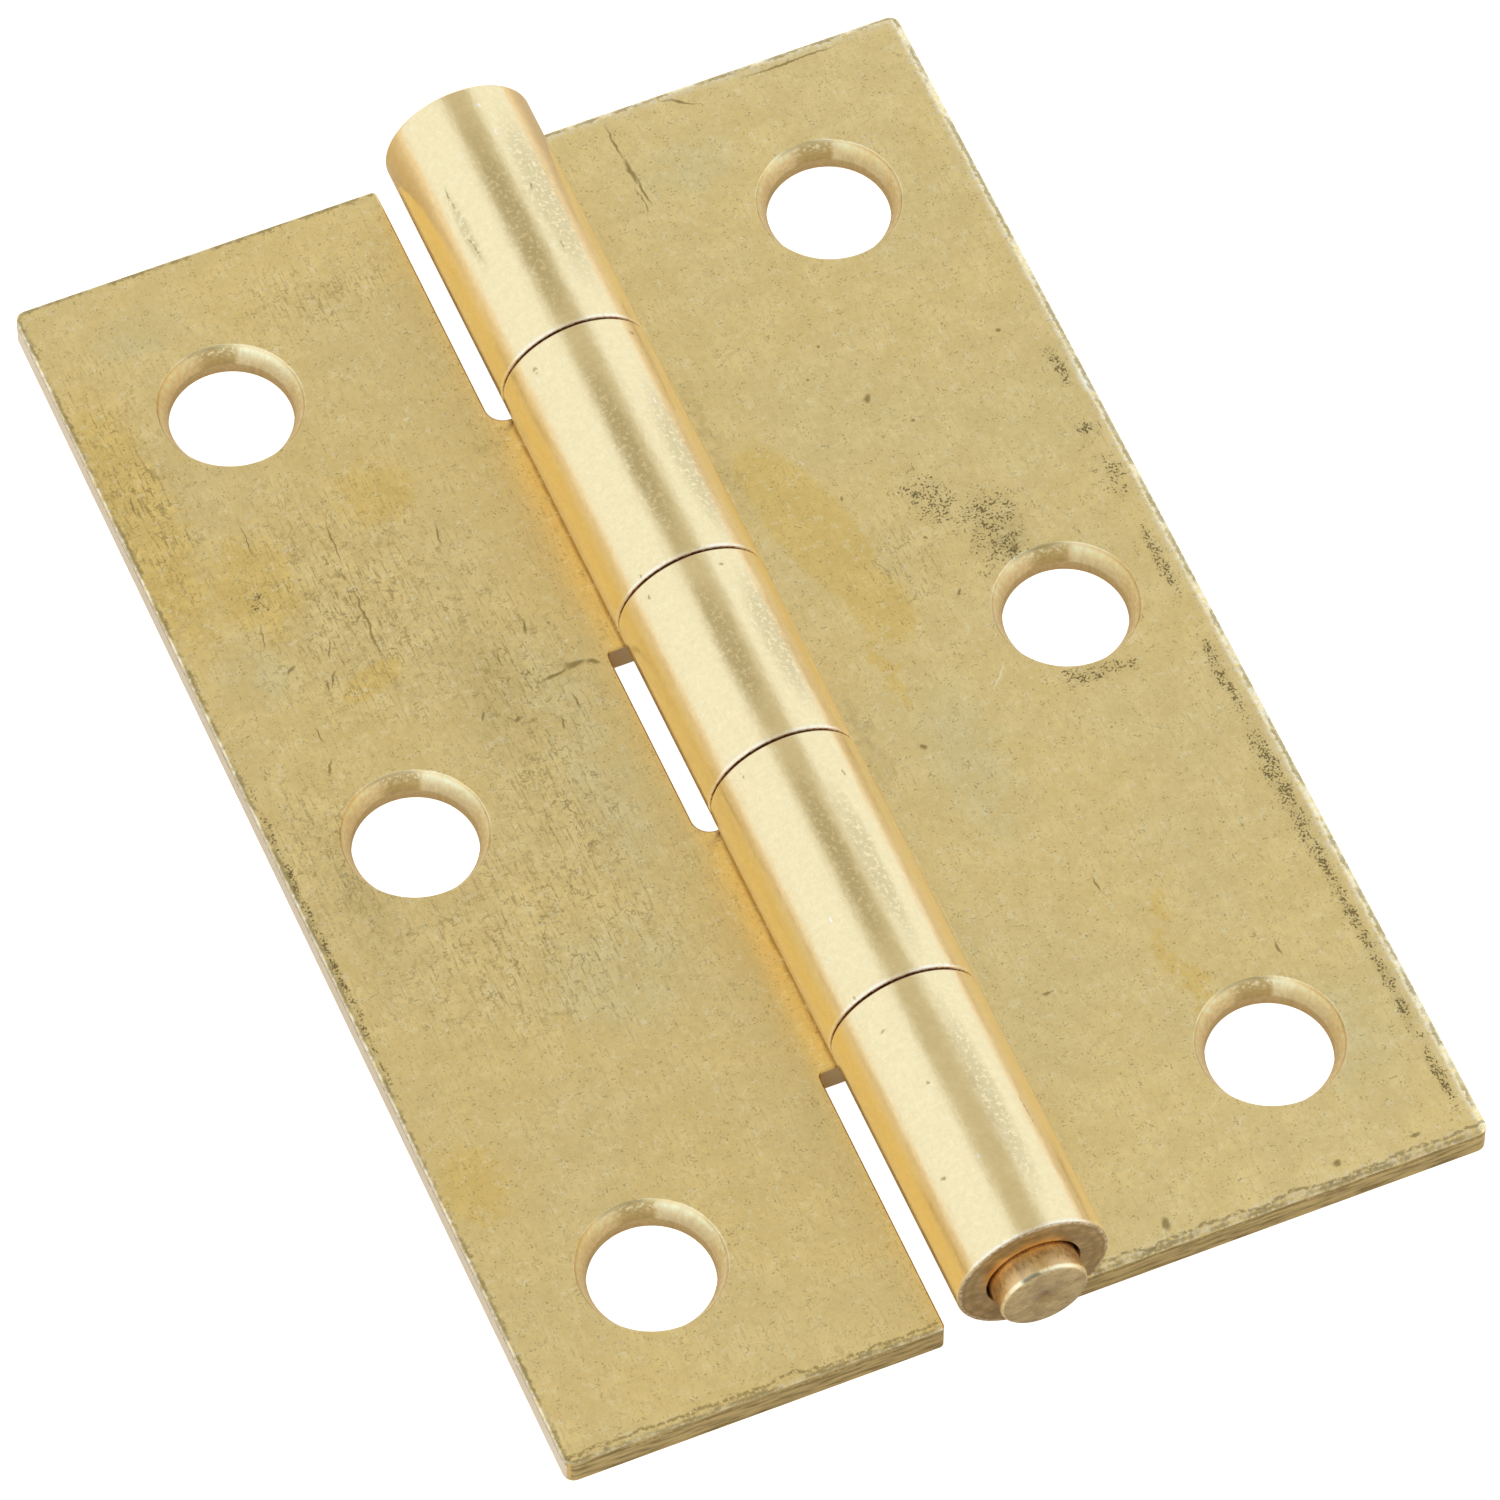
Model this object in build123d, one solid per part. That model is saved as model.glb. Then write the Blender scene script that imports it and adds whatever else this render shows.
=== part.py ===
"""A narrow butt hinge: two leaves, each rolled from flat sheet round one plain pin, lying open and flat.

X runs across the hinge, Y along the pin and Z up. The origin is on the plane of the leaves' backs,
straight under the middle of the pin. The leaf with three knuckles is on +X, the one with two on -X.
"""
from build123d import *
import os

# Leaves, sizes in millimetres
leaf_length = 76.2
leaf_width = 25.4  # from the pin's axis to the outer edge
sheet = 1.7
outer_corner_radius = 0.6
top_edge_round = 0.2  # the punch rolls the outline's upper edge over

# Pin
pin_diameter = 4.8
pin_clearance = 0.05  # radial, between the pin and its bore
pin_stand_out = 1.55  # beyond the leaves at the -Y end
pin_recess = 0.2  # inside the last knuckle at the +Y end
pin_chamfer = 0.3

# Knuckles: an end, an inner, the middle, an inner and an end one along Y
middle_knuckle = 12.2
inner_knuckle = 15.7
knuckle_gap = 0.2  # between the faces of neighbours
knuckle_rim_round = 0.25
seam = 0.15  # between a curl's cut end and the face of its own leaf

# Slots that let the other leaf's knuckles turn
slot_clearance = 0.6  # beyond the knuckles' outside
slot_wide_radius = 1.1  # at the end of a slot towards -Y
slot_tight_radius = 0.3  # at its other end, and at a leaf's two corners beside the barrel

# Screw holes, countersunk on the barrel's side
hole_diameter = 6.65
countersink_diameter = 7.8
hole_land = 0.6  # straight wall left under the countersink
end_hole_spacing = 57.15
three_knuckle_row = 17.3  # end holes of the three-knuckle leaf, from the pin's axis
two_knuckle_row = 16.95  # and those of the other leaf
row_stagger = 1.2  # the middle hole stands this much further out
row_shift = -0.33  # both rows sit a little towards the end where the pin stands out

# What follows from those sizes
half_length = leaf_length / 2
bore_radius = pin_diameter / 2 + pin_clearance
barrel_radius = bore_radius + sheet
axis_height = barrel_radius  # the backs of the leaves are tangent to the barrel
slot_edge = barrel_radius + slot_clearance
middle_face = middle_knuckle / 2  # half way through the gap beside the middle knuckle
inner_face = middle_face + inner_knuckle
half_gap = knuckle_gap / 2

three_knuckles = [
    (-half_length, -inner_face - half_gap),
    (-middle_face + half_gap, middle_face - half_gap),
    (inner_face + half_gap, half_length),
]
two_knuckles = [
    (-inner_face + half_gap, -middle_face - half_gap),
    (middle_face + half_gap, inner_face - half_gap),
]


def rectangle(x_from, x_to, y_from, y_to):
    """A rectangle between two corners, whichever way round they are given."""
    low_x, high_x = sorted((x_from, x_to))
    return Pos(low_x, y_from) * Rectangle(high_x - low_x, y_to - y_from, align=Align.MIN)


def near(vertex, x, y):
    """Whether a vertex of an outline stands at x, y."""
    return abs(vertex.X - x) < 0.01 and abs(vertex.Y - y) < 0.01


def round_corner(outline, x, y, radius):
    """The outline with the corner at x, y rounded."""
    return fillet([v for v in outline.vertices() if near(v, x, y)], radius)


def leaf_outline(side, knuckles):
    """The flat blank seen from above, ending in straight necks under the pin."""
    edge = side * slot_edge
    outline = rectangle(edge, side * leaf_width, -half_length, half_length)
    for y_from, y_to in knuckles:
        outline += rectangle(0, edge, y_from, y_to)
    for y in (-half_length, half_length):
        outline = round_corner(outline, side * leaf_width, y, outer_corner_radius)
        if not any(y in span for span in knuckles):
            outline = round_corner(outline, edge, y, slot_tight_radius)
    for y_from, y_to in knuckles:
        if y_from > -half_length:
            outline = round_corner(outline, edge, y_from, slot_tight_radius)
        if y_to < half_length:
            outline = round_corner(outline, edge, y_to, slot_wide_radius)
    return outline


def curl(side, y_from, y_to):
    """The sheet carried on from its neck, round the pin and down onto its own leaf."""
    start = Plane((0, y_from, axis_height), x_dir=(1, 0, 0), z_dir=(0, -1, 0))
    open_quarter = Pos(side * barrel_radius, sheet + seam - axis_height - barrel_radius)
    ring = Circle(barrel_radius) - Circle(bore_radius)
    ring -= open_quarter * Rectangle(2 * barrel_radius, 2 * barrel_radius)
    return extrude(start * ring, y_to - y_from, dir=(0, 1, 0))


def screw_hole(x, y):
    """What is cut away for a countersunk hole, wide at the top face."""
    hole_radius = hole_diameter / 2
    depth = sheet - hole_land
    widening = countersink_diameter / 2 - hole_radius
    through = Cylinder(hole_radius, 2 * (sheet + depth))
    # twice the real cone's height, so that the cut runs on above the face
    cone = Cone(hole_radius, hole_radius + 2 * widening, 2 * depth)
    return Pos(x, y, 0) * (through + Pos(0, 0, hole_land + depth) * cone)


def is_outline_top(edge):
    """Whether an edge belongs to the blank's outline on the top face, away from the curls."""
    box = edge.bounding_box()
    flat = abs(box.min.Z - sheet) < 0.001 and abs(box.max.Z - sheet) < 0.001
    return flat and not (abs(box.min.X) < 0.001 and abs(box.max.X) < 0.001)


def leaf(side, knuckles, hole_row):
    """One leaf with its curls and its three holes."""
    plate = extrude(leaf_outline(side, knuckles), sheet)
    solid = fillet([e for e in plate.edges() if is_outline_top(e)], top_edge_round)
    for y_from, y_to in knuckles:
        ring = curl(side, y_from, y_to)
        rims = [
            e
            for e in ring.edges().filter_by(GeomType.CIRCLE)
            if abs(e.radius - barrel_radius) < 0.001
        ]
        solid += fillet(rims, knuckle_rim_round)
    for y in (-end_hole_spacing / 2, end_hole_spacing / 2):
        solid -= screw_hole(side * hole_row, row_shift + y)
    solid -= screw_hole(side * (hole_row + row_stagger), row_shift)
    return solid


def hinge_pin():
    """A plain pin, chamfered at both ends."""
    length = leaf_length + pin_stand_out - pin_recess
    middle = (half_length - pin_recess) - length / 2
    rod = Cylinder(pin_diameter / 2, length)
    rod = chamfer(rod.edges().filter_by(GeomType.CIRCLE), pin_chamfer)
    return Pos(0, middle, axis_height) * Rot(90, 0, 0) * rod


nodes = {
    "three_knuckle_leaf": leaf(1, three_knuckles, three_knuckle_row),
    "two_knuckle_leaf": leaf(-1, two_knuckles, two_knuckle_row),
    "hinge_pin": hinge_pin(),
}

os.makedirs("parts", exist_ok=True)
for name, shape in nodes.items():
    export_step(shape, f"parts/{name}.step")
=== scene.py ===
"""A narrow butt hinge of brass-plated sheet, lying open on a white table.

Lengths are in metres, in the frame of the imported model: X across the hinge, Y along the pin, Z up.
"""
import bmesh
import bpy
import math
from mathutils import Matrix, Vector


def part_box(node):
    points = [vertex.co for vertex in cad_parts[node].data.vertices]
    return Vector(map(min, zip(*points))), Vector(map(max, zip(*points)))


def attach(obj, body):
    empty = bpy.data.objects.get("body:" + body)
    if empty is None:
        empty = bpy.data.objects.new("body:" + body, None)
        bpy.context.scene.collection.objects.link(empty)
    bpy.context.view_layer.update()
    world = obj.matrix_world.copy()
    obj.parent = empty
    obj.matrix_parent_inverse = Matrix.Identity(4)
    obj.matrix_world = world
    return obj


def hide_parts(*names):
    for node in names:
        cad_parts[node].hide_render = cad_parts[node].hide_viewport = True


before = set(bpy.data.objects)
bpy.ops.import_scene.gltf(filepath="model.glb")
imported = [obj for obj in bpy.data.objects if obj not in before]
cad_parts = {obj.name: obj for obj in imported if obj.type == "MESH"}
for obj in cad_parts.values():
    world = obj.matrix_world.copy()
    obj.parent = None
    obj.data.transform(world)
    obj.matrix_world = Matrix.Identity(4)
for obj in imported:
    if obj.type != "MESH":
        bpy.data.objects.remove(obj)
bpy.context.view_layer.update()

MM = 0.001
TINY = 0.002 * MM
weld_distance = 0.001 * MM
smooth_angle = 35  # degrees
round_steps = 128

# Sizes read from the frame
leaf_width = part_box("three_knuckle_leaf")[1].x
half_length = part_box("three_knuckle_leaf")[1].y
barrel_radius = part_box("three_knuckle_leaf")[1].z / 2
axis_height = barrel_radius
pin_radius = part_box("hinge_pin")[1].x
pin_near_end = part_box("hinge_pin")[0].y
pin_far_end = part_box("hinge_pin")[1].y

# Sheet and knuckles
sheet = 1.7 * MM
knuckle_gap = 0.1 * MM  # as narrow as it looks
middle_face = 6.1 * MM  # half way through the gap beside the middle knuckle
inner_face = 21.8 * MM
rim_round = 0.16 * MM
seam = 0.15 * MM
slot_edge = barrel_radius + 0.6 * MM
slot_wide_radius = 1.0 * MM  # clears the other leaf when it hangs down
slot_tight_radius = 0.3 * MM
outer_corner_radius = 0.6 * MM
curl_steps = 108

# How wide and deep the punch rolled over each leaf's upper edge, and the depth's shares, steep at the edge
three_knuckle_roll = (0.55 * MM, 0.14 * MM)
two_knuckle_roll = (0.12 * MM, 0.06 * MM)
roll_shares = (0.5, 0.3, 0.15, 0.05)

# Screw holes
hole_radius = 3.325 * MM
countersink_radius = 3.9 * MM
countersink_relief = 0.05 * MM
hole_land = 0.6 * MM
end_hole_spacing = 57.15 * MM
row_stagger = 1.2 * MM
row_shift = -0.33 * MM
three_knuckle_row = 17.3 * MM
two_knuckle_row = 16.95 * MM

# Pin
pin_chamfer = 0.3 * MM
centre_mark_radius = 0.35 * MM
centre_mark_slope = 0.2 * MM
centre_mark_depth = 0.12 * MM

three_knuckles = [
    (-half_length, -inner_face - knuckle_gap / 2),
    (-middle_face + knuckle_gap / 2, middle_face - knuckle_gap / 2),
    (inner_face + knuckle_gap / 2, half_length),
]
two_knuckles = [
    (-inner_face + knuckle_gap / 2, -middle_face - knuckle_gap / 2),
    (middle_face + knuckle_gap / 2, inner_face - knuckle_gap / 2),
]


class Nodes:
    """Adds nodes to one node tree, each wired up as it is made."""

    def __init__(self, tree):
        self.tree = tree

    def add(self, kind, inputs=None, **settings):
        made = self.tree.nodes.new("ShaderNode" + kind)
        for name, value in settings.items():
            setattr(made, name, value)
        for name, value in (inputs or {}).items():
            self.feed(made.inputs[name], value)
        return made

    def feed(self, socket, value):
        if isinstance(value, bpy.types.NodeSocket):
            self.tree.links.new(value, socket)
        else:
            socket.default_value = value

    def join(self, source, socket):
        self.tree.links.new(source, socket)

    def math(self, operation, a, b=0.0):
        made = self.tree.nodes.new("ShaderNodeMath")
        made.operation = operation
        self.feed(made.inputs[0], a)
        self.feed(made.inputs[1], b)
        return made.outputs[0]

    def times(self, *values):
        product = values[0]
        for value in values[1:]:
            product = self.math("MULTIPLY", product, value)
        return product

    def less(self, value):
        """What is left of one."""
        return self.math("SUBTRACT", 1.0, value)

    def away(self, value, middle):
        """How far a value is from another."""
        return self.math("ABSOLUTE", self.math("SUBTRACT", value, middle))

    def sway(self, field, reach):
        """A noise field as a number that sways about nought."""
        return self.times(self.math("SUBTRACT", field, 0.5), reach)

    def ramp(self, value, low, high, start=0.0, end=1.0):
        """A smooth rise from start to end as value goes from low to high."""
        made = self.add("MapRange", {"Value": value, "From Min": low, "From Max": high,
                                     "To Min": start, "To Max": end})
        made.interpolation_type = "SMOOTHSTEP"
        return made.outputs["Result"]

    def line(self, value, middle, fading, full):
        """1 where a value is within full of the middle, and 0 where it is further off than fading."""
        return self.ramp(self.away(value, middle), fading, full)

    def between(self, factor, a, b):
        """A number between a and b."""
        made = self.add("Mix", {"Factor": factor})
        self.feed(made.inputs[2], a)
        self.feed(made.inputs[3], b)
        return made.outputs[0]

    def toned(self, factor, under, over, blend="MIX"):
        """A colour laid over another."""
        made = self.add("Mix", data_type="RGBA", blend_type=blend)
        self.feed(made.inputs[0], factor)
        for socket, colour in ((made.inputs[6], under), (made.inputs[7], over)):
            self.feed(socket, (*colour, 1) if isinstance(colour, tuple) else colour)
        return made.outputs[2]

    def tinted(self, colour, brightness):
        """A colour made darker or lighter."""
        grey = self.add("CombineColor", {"Red": brightness, "Green": brightness, "Blue": brightness})
        return self.toned(1.0, colour, grey.outputs[0], "MULTIPLY")

    def vector(self, operation, a, b=(0, 0, 0), scale=1.0):
        made = self.tree.nodes.new("ShaderNodeVectorMath")
        made.operation = operation
        self.feed(made.inputs[0], a)
        self.feed(made.inputs[1], b)
        if operation == "SCALE":
            self.feed(made.inputs[3], scale)
        return made.outputs["Value"] if operation == "LENGTH" else made.outputs["Vector"]

    def noise(self, where, scale, detail=2.0, roughness=0.5, output="Fac"):
        return self.add("TexNoise", {"Vector": where, "Scale": scale, "Detail": detail,
                                     "Roughness": roughness}, noise_dimensions="2D").outputs[output]

    def moved(self, where, x, y):
        return self.add("Mapping", {"Vector": where, "Location": (x, y, 0)}).outputs["Vector"]

    def stretched(self, where, across, along, turn=0.0):
        return self.add("Mapping", {"Vector": where, "Rotation": (0, 0, math.radians(turn)),
                                    "Scale": (across, along, 1)}).outputs["Vector"]

    def placed(self, where, x, y, wide, long, turn=0.0):
        """Coordinates in which an ellipse about x, y is the unit circle."""
        return self.add("Mapping", {
            "Vector": where, "Location": (x, y, 0), "Rotation": (0, 0, math.radians(turn)),
            "Scale": (wide, long, 1)}, vector_type="TEXTURE").outputs["Vector"]

    def marks(self, where, spots, core=0.0):
        """Ellipses as one: 1 in their middles, fading to 0 at their edges. Sizes are half widths."""
        together = 0.0
        for spot in spots:
            drawn = self.add("TexGradient", {"Vector": self.placed(where, *spot)},
                             gradient_type="SPHERICAL")
            together = self.math("MAXIMUM", drawn.outputs["Fac"], together)
        return self.ramp(together, 0.0, 1.0 - core)

    def strokes(self, where, turn, across, along, low, high):
        """A field of short fine streaks that run along Y, turned by some degrees."""
        drawn = self.stretched(where, across, along, turn)
        return self.ramp(self.noise(drawn, 1.0, 1.5, 0.5), low, high)

    def curls(self, where, scale, width, low, high):
        """Short thin curly lines."""
        curl = self.line(self.noise(where, scale, 2.0, 0.5), 0.5, width, 0.0)
        gaps = self.ramp(self.noise(self.moved(where, 31, 17), scale * 0.9, 1.0), low, high)
        return self.times(curl, gaps)


# Modelling

def start(piece_name):
    """Names the primitive that was just added, settles its place in its mesh and opens it for editing."""
    piece = bpy.context.object
    piece.name = piece.data.name = piece_name
    bpy.ops.object.transform_apply(location=True, rotation=True, scale=True)
    bpy.ops.object.mode_set(mode="EDIT")
    return piece


def clear_selection():
    if bpy.context.object and bpy.context.object.mode == "EDIT":
        bpy.ops.object.mode_set(mode="OBJECT")
    bpy.ops.object.select_all(action="DESELECT")


def pick(piece, kind, wanted):
    """Selects only the points, edges or faces of an open piece for which wanted(item) is true."""
    bpy.ops.mesh.select_mode(type=kind)
    bpy.ops.mesh.select_all(action="DESELECT")
    mesh = bmesh.from_edit_mesh(piece.data)
    items = {"VERT": mesh.verts, "EDGE": mesh.edges, "FACE": mesh.faces}[kind]
    count = 0
    for item in items:
        if wanted(item):
            item.select_set(True)
            count += 1
    mesh.select_flush_mode()
    bmesh.update_edit_mesh(piece.data)
    return count


def centre(item):
    """The middle of an edge or a face."""
    return sum((v.co for v in item.verts), Vector()) / len(item.verts)


def near(a, b, slack=TINY):
    return abs(a - b) < slack


def axis_distance(point):
    """How far a point lies from the pin's axis."""
    return math.hypot(point.x, point.z - axis_height)


def is_upright(edge):
    a, b = (v.co for v in edge.verts)
    return near(a.x, b.x) and near(a.y, b.y) and not near(a.z, b.z)


def round_uprights(piece, places, radius, segments):
    """Rounds the upright edges of the blank that stand at any of the given x, y places."""
    found = pick(piece, "EDGE", lambda e: is_upright(e) and any(
        near(centre(e).x, x) and near(centre(e).y, y) for x, y in places))
    if found:
        bpy.ops.mesh.bevel(offset=radius, segments=segments, affect="EDGES")


def finish_mesh():
    """Closes the open piece's mesh, points its faces outwards and shades its curved parts smooth."""
    bpy.ops.mesh.select_mode(type="VERT")
    bpy.ops.mesh.select_all(action="SELECT")
    bpy.ops.mesh.remove_doubles(threshold=weld_distance)
    bpy.ops.mesh.normals_make_consistent(inside=False)
    bpy.ops.object.mode_set(mode="OBJECT")
    bpy.ops.object.shade_smooth_by_angle(angle=math.radians(smooth_angle))


def weigh_normals(piece):
    """Keeps the large flats flat beside their rounded edges."""
    bpy.ops.object.modifier_add(type="WEIGHTED_NORMAL")
    piece.modifiers[-1].keep_sharp = True
    bpy.ops.object.modifier_apply(modifier=piece.modifiers[-1].name)


def punched_blank(name, side, knuckles, roll_width, roll_depth):
    """The flat blank with straight necks, its upper edge rolled over by the punch."""
    edge = side * slot_edge
    outer = side * leaf_width
    clear_selection()
    bpy.ops.mesh.primitive_cube_add(
        size=1,
        location=((edge + outer) / 2, 0, (sheet - roll_depth) / 2),
        scale=(leaf_width - slot_edge, 2 * half_length, sheet - roll_depth),
    )
    piece = start(name)
    faces = sorted({y for span in knuckles for y in span if not near(abs(y), half_length)})
    for y in faces:
        bpy.ops.mesh.select_all(action="SELECT")
        bpy.ops.mesh.bisect(plane_co=(0, y, 0), plane_no=(0, 1, 0))
    pick(piece, "FACE", lambda f: near(f.normal.x, -side, 0.01) and any(
        low < centre(f).y < high for low, high in knuckles))
    run_on = 1 * MM
    bpy.ops.mesh.extrude_region_move(
        TRANSFORM_OT_translate={"value": (-edge - side * run_on, 0, 0)})
    bpy.ops.mesh.select_all(action="SELECT")
    bpy.ops.mesh.dissolve_limited(angle_limit=math.radians(1))
    wide = [(edge, high) for low, high in knuckles if not near(high, half_length)]
    tight = [(edge, low) for low, high in knuckles if not near(low, -half_length)]
    if len(knuckles) == 2:
        tight += [(edge, -half_length), (edge, half_length)]
    round_uprights(piece, wide, slot_wide_radius, 10)
    round_uprights(piece, tight, slot_tight_radius, 6)
    round_uprights(piece, [(outer, -half_length), (outer, half_length)], outer_corner_radius, 8)
    pick(piece, "FACE", lambda f: f.normal.z > 0.99)
    for share in roll_shares:
        bpy.ops.mesh.inset(thickness=roll_width / len(roll_shares), depth=roll_depth * share)
    bpy.ops.mesh.select_all(action="SELECT")
    bpy.ops.mesh.bisect(
        plane_co=(0, 0, 0), plane_no=(side, 0, 0), clear_inner=True, use_fill=True)
    return piece


def roll_knuckles(piece, side, knuckles):
    """Carries the necks on round the pin and trims them just above their own leaf."""
    cut_height = sheet + seam
    bore_radius = barrel_radius - sheet
    turn = 1.5 * math.pi + math.asin((axis_height - cut_height) / bore_radius)
    pick(piece, "FACE", lambda f: all(near(v.co.x, 0) for v in f.verts))
    bpy.ops.mesh.spin(
        steps=curl_steps, angle=-side * turn, center=(0, 0, axis_height), axis=(0, 1, 0))
    bpy.ops.mesh.select_all(action="SELECT")
    bpy.ops.mesh.remove_doubles(threshold=weld_distance)
    bpy.ops.mesh.normals_make_consistent(inside=False)

    # the tail's end is squared off parallel to the leaf
    beside_axis = 0.3 * MM
    pick(piece, "VERT", lambda v: side * v.co.x > beside_axis and v.co.z < cut_height
         and axis_distance(v.co) < barrel_radius + TINY)
    bpy.ops.transform.resize(value=(1, 1, 0), center_override=(0, 0, cut_height))

    def on_rim(e):
        a, b = (v.co for v in e.verts)
        slack = 0.01 * MM
        return (near(a.y, b.y) and any(near(a.y, y) for span in knuckles for y in span)
                and near(axis_distance(a), barrel_radius, slack)
                and near(axis_distance(b), barrel_radius, slack))

    pick(piece, "EDGE", on_rim)
    bpy.ops.mesh.bevel(offset=rim_round, segments=4, affect="EDGES")


def countersink_cutter(x, y):
    """What a countersink leaves open, a little relieved where it meets the face."""
    run_on = 2 * MM
    clear_selection()
    bpy.ops.mesh.primitive_cylinder_add(
        vertices=round_steps, radius=hole_radius, depth=sheet + 2 * run_on, location=(x, y, sheet / 2))
    cutter = start("countersink_cutter")
    slope = (countersink_radius - hole_radius) / (sheet - hole_land)
    for z in (hole_land, sheet - countersink_relief):
        bpy.ops.mesh.select_all(action="SELECT")
        bpy.ops.mesh.bisect(plane_co=(0, 0, z), plane_no=(0, 0, 1))
    bpy.ops.object.mode_set(mode="OBJECT")
    for v in cutter.data.vertices:
        if v.co.z < hole_land + TINY:
            continue
        if v.co.z < sheet:
            radius = hole_radius + slope * (v.co.z - hole_land)
        else:
            radius = countersink_radius + (v.co.z - sheet)
        grow = radius / hole_radius
        v.co.x = x + (v.co.x - x) * grow
        v.co.y = y + (v.co.y - y) * grow
    return cutter


def sink_holes(piece, side, row):
    """Cuts the three screw holes of a leaf."""
    spots = [
        (side * row, row_shift - end_hole_spacing / 2),
        (side * (row + row_stagger), row_shift),
        (side * row, row_shift + end_hole_spacing / 2),
    ]
    for x, y in spots:
        cutter = countersink_cutter(x, y)
        clear_selection()
        bpy.context.view_layer.objects.active = piece
        piece.select_set(True)
        bpy.ops.object.modifier_add(type="BOOLEAN")
        cut = piece.modifiers[-1]
        cut.operation = "DIFFERENCE"
        cut.solver = "EXACT"
        cut.object = cutter
        bpy.ops.object.modifier_apply(modifier=cut.name)
        bpy.data.objects.remove(cutter)
    return spots


def leaf(name, side, knuckles, row, roll_width, roll_depth):
    """One leaf: punched, rolled, bored and countersunk. Also returns where its holes are."""
    piece = punched_blank(name, side, knuckles, roll_width, roll_depth)
    roll_knuckles(piece, side, knuckles)
    finish_mesh()
    holes = sink_holes(piece, side, row)
    bpy.ops.object.mode_set(mode="EDIT")
    finish_mesh()
    weigh_normals(piece)
    return piece, holes


def pin_rod(name):
    """The pin, chamfered at both ends, with a small centre mark on the end that stands out."""
    length = pin_far_end - pin_near_end
    clear_selection()
    bpy.ops.mesh.primitive_cylinder_add(
        vertices=round_steps, radius=pin_radius, depth=length,
        location=(0, (pin_far_end + pin_near_end) / 2, axis_height), rotation=(math.pi / 2, 0, 0))
    piece = start(name)
    pick(piece, "EDGE", lambda e: near(e.verts[0].co.y, e.verts[1].co.y))
    bpy.ops.mesh.bevel(offset=pin_chamfer, segments=3, affect="EDGES")
    pick(piece, "FACE", lambda f: near(centre(f).y, pin_near_end))
    bpy.ops.mesh.inset(thickness=pin_radius - pin_chamfer - centre_mark_radius)
    bpy.ops.mesh.inset(thickness=centre_mark_slope, depth=-centre_mark_depth)
    finish_mesh()
    weigh_normals(piece)
    return piece


three_knuckle_leaf, three_knuckle_holes = leaf(
    "three_knuckle_leaf_sheet", 1, three_knuckles, three_knuckle_row, *three_knuckle_roll)
two_knuckle_leaf, two_knuckle_holes = leaf(
    "two_knuckle_leaf_sheet", -1, two_knuckles, two_knuckle_row, *two_knuckle_roll)
pin = pin_rod("hinge_pin_rod")

# Finish, colours of the metal and of what has happened to it, and of painted light and shade

barrel_plated = (0.83, 0.64, 0.345)
# The barrel's sides, painted more orange as a painted reflection of the leaves beside them
barrel_side_painted_reflection = (0.85, 0.615, 0.262)
stained = (0.80, 0.548, 0.172)
greyed = (0.745, 0.615, 0.345)
# A painted orange reflection of the barrel, laid where the necks turn up
painted_neck_reflection = (0.81, 0.535, 0.215)
sheared = (0.60, 0.49, 0.255)
between_knuckles = (0.52, 0.25, 0.08)
# Painted light and shade on the countersinks' walls
hole_wall_painted_light = (1.0, 0.80, 0.46)
hole_painted_shade = (0.71, 0.54, 0.25)
hole_painted_highlight = (1.0, 0.87, 0.57)
hole_painted_warm_reflection = (0.97, 0.78, 0.43)
hole_painted_glint = (1.0, 0.90, 0.64)
hole_bottom_painted_shade = (0.80, 0.62, 0.34)
# A painted highlight on the cut faces in the slots
slot_wall_painted_highlight = (0.97, 0.82, 0.55)
# Bright burr and worn metal, partly a painted highlight on rounded rims and edges
burr_and_painted_highlight = (0.93, 0.83, 0.70)
# Bright rims round the holes, partly wear and partly painted highlight
worn_rim_and_painted_highlight = (1.0, 0.86, 0.60)
pale_fleck = (0.95, 0.84, 0.60)
line_dark = (0.32, 0.225, 0.085)
grit_dark = (0.125, 0.088, 0.036)
# Painted shade along the seam, in the knuckle joints and at the pin's base
seam_painted_shade = (0.30, 0.15, 0.05)
end_face = (0.47, 0.345, 0.185)
# A painted orange reflection on the ring's end beside the pin
painted_end_reflection = (1.0, 0.58, 0.18)
pin_side = (0.74, 0.40, 0.12)
pin_side_dark = (0.53, 0.26, 0.07)
pin_end = (0.66, 0.54, 0.33)
pin_end_dark = (0.50, 0.40, 0.235)
pin_centre = (0.30, 0.17, 0.08)
# Painted highlight and painted dark reflection on the pin's chamfers
pin_chamfer_painted_highlight = (1.0, 0.86, 0.55)
pin_chamfer_painted_dark_reflection = (0.20, 0.15, 0.07)

DEGREES = 180 / math.pi
barrel_skin = barrel_radius / MM * math.pi / 180  # millimetres round the barrel for a degree
facing_side = (0.70, 0.9)
cut_stretch = 1.6  # how much finer the marks are through the sheet than along it


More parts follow.
